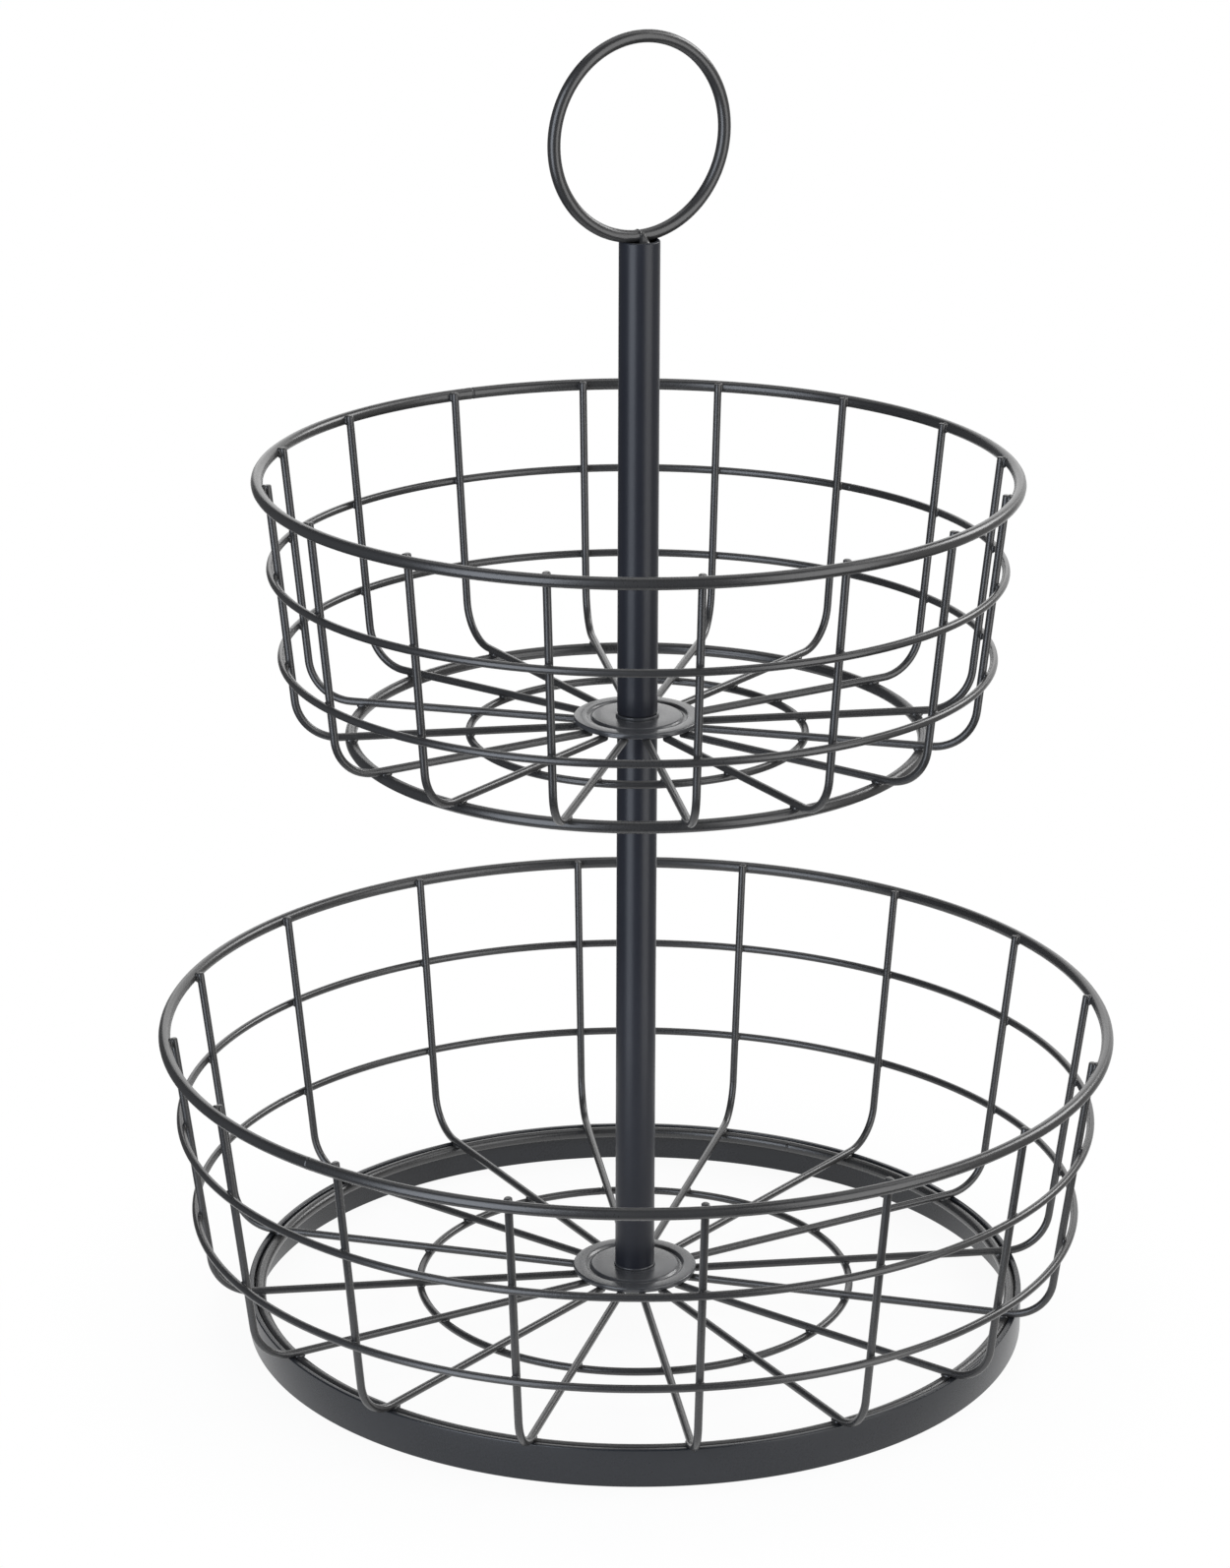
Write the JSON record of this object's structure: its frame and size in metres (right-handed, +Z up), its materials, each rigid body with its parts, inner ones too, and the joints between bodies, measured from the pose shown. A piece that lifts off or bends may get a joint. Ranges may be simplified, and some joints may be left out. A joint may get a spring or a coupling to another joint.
{
  "type": "tiered wire basket stand",
  "caption": "Round two-tier wire basket stand: a smaller basket above a larger one on a screwed tube post with a ring handle and a flat foot band.",
  "frame": {"origin": "centre of the foot band's underside, on the surface that the stand rests on", "axes": "+Z up along the post, -Y towards the viewer of the picture, +X to that viewer's right"},
  "size_m": [0.3048, 0.3048, 0.4197],
  "materials": {
    "wire_coat": "satin charcoal-black powder coat over welded steel wire",
    "band_coat": "satin charcoal-black powder coat over rolled steel strip",
    "plate_coat": "satin charcoal-black powder coat over pressed steel plate",
    "post_coat": "satin charcoal-black powder coat over steel tube",
    "zinc_steel": "zinc-plated steel"
  },
  "bodies": {
    "base": {"base_domed_nut": "zinc_steel", "base_stud": "zinc_steel", "base_washer": "zinc_steel", "foot_band": "band_coat", "foot_ring": "wire_coat", "joint_stud": "zinc_steel", "lower_basket_floor_ring": "wire_coat", "lower_basket_high_hoop": "wire_coat", "lower_basket_low_hoop": "wire_coat", "lower_basket_rib_01": "wire_coat", "lower_basket_rib_02": "wire_coat", "lower_basket_rib_03": "wire_coat", "lower_basket_rib_04": "wire_coat", "lower_basket_rib_05": "wire_coat", "lower_basket_rib_06": "wire_coat", "lower_basket_rib_07": "wire_coat", "lower_basket_rib_08": "wire_coat", "lower_basket_rib_09": "wire_coat", "lower_basket_rib_10": "wire_coat", "lower_basket_rib_11": "wire_coat", "lower_basket_rib_12": "wire_coat", "lower_basket_rib_13": "wire_coat", "lower_basket_rib_14": "wire_coat", "lower_basket_rib_15": "wire_coat", "lower_basket_rib_16": "wire_coat", "lower_basket_rim": "wire_coat", "lower_hub_plate": "plate_coat", "lower_post_foot_plug": "zinc_steel", "lower_post_head_plug": "zinc_steel", "lower_post_tube": "post_coat"},
    "upper_basket": {"upper_basket_base_ring": "wire_coat", "upper_basket_floor_ring": "wire_coat", "upper_basket_high_hoop": "wire_coat", "upper_basket_low_hoop": "wire_coat", "upper_basket_rib_01": "wire_coat", "upper_basket_rib_02": "wire_coat", "upper_basket_rib_03": "wire_coat", "upper_basket_rib_04": "wire_coat", "upper_basket_rib_05": "wire_coat", "upper_basket_rib_06": "wire_coat", "upper_basket_rib_07": "wire_coat", "upper_basket_rib_08": "wire_coat", "upper_basket_rib_09": "wire_coat", "upper_basket_rib_10": "wire_coat", "upper_basket_rib_11": "wire_coat", "upper_basket_rib_12": "wire_coat", "upper_basket_rib_13": "wire_coat", "upper_basket_rib_14": "wire_coat", "upper_basket_rib_15": "wire_coat", "upper_basket_rib_16": "wire_coat", "upper_basket_rim": "wire_coat", "upper_hub_plate": "plate_coat"},
    "spacer": {"spacer_washer": "plate_coat"},
    "handle_post": {"upper_post_tube": "post_coat", "upper_post_plug": "zinc_steel", "ring_handle": "wire_coat"}
  },
  "joints": [
    {"name": "upper_basket_lift", "type": "slide", "parent": "base", "child": "upper_basket", "axis": [0, 0, 1], "range_m": [0, 0.03]},
    {"name": "handle_post_rise", "type": "slide", "parent": "upper_basket", "child": "spacer", "axis": [0, 0, 1], "range_m": [0, 0.00925]},
    {"name": "handle_post_turn", "type": "hinge", "parent": "spacer", "child": "handle_post", "pos_m": [0, 0, 0.20543], "axis": [0, 0, 1], "range_deg": [0, 3330]}
  ],
  "couplings": [
    {"joint": "handle_post_rise", "follows": "handle_post_turn", "m_per_rad": 0.00015915}
  ]
}
